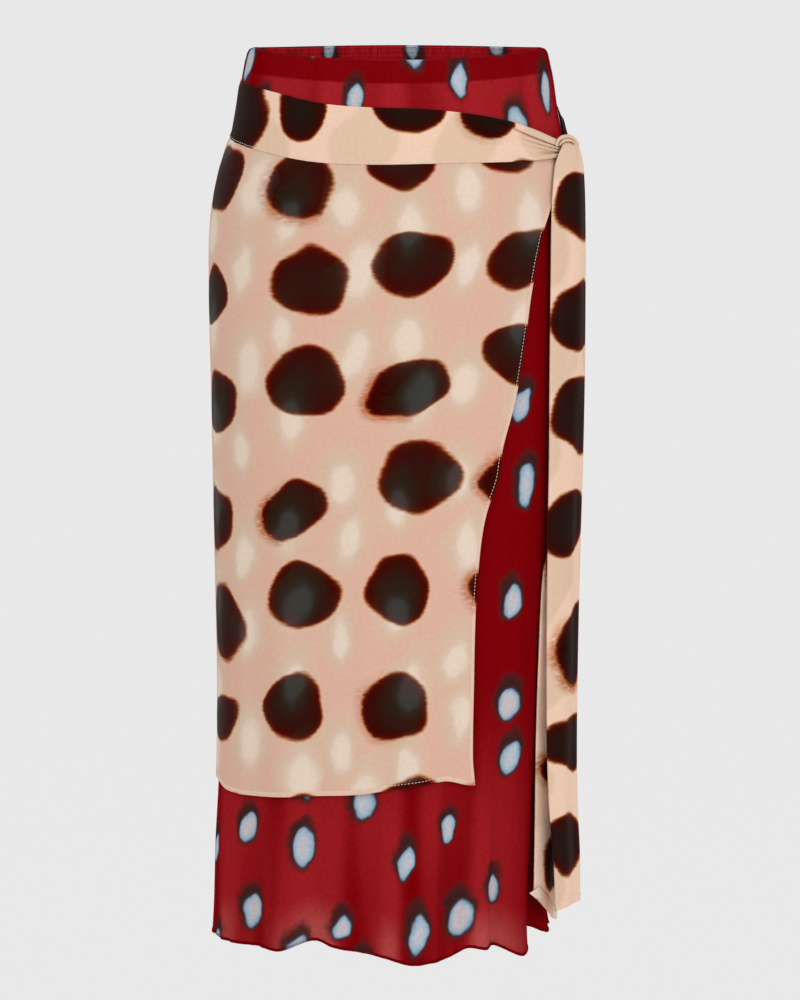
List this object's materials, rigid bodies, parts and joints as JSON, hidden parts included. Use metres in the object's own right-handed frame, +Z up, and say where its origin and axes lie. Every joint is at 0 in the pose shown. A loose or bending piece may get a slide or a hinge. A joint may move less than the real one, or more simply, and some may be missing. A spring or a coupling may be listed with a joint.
{
  "type": "wrap skirt",
  "caption": "Long wrap skirt in its worn, hollow form: a fluted underskirt, a wrap panel over it and a wide sash knotted at one hip, with hanging tails.",
  "frame": {"origin": "middle of the waist opening, level with its rim at the side seams", "axes": "+Z up, the front faces -Y, and +X is towards the wearer's left hip, where the sash is knotted"},
  "size_m": [0.3595, 0.2565, 0.8721],
  "materials": {
    "underskirt_cloth": "matte printed chiffon, red with pale blue ovals",
    "casing_cloth": "matte red cloth, shirred with elastic",
    "overlay_cloth": "matte printed chiffon, peach with soft brown spots",
    "sash_cloth": "matte printed chiffon, peach with soft brown spots"
  },
  "bodies": {
    "root": {"underskirt_front": "underskirt_cloth", "underskirt_back": "underskirt_cloth", "casing_front": "casing_cloth", "casing_back": "casing_cloth", "overlay_front": "overlay_cloth", "overlay_back": "overlay_cloth", "sash_front": "sash_cloth", "sash_back": "sash_cloth", "knot": "sash_cloth", "tail_front": "sash_cloth", "tail_back": "sash_cloth"}
  },
  "joints": []
}
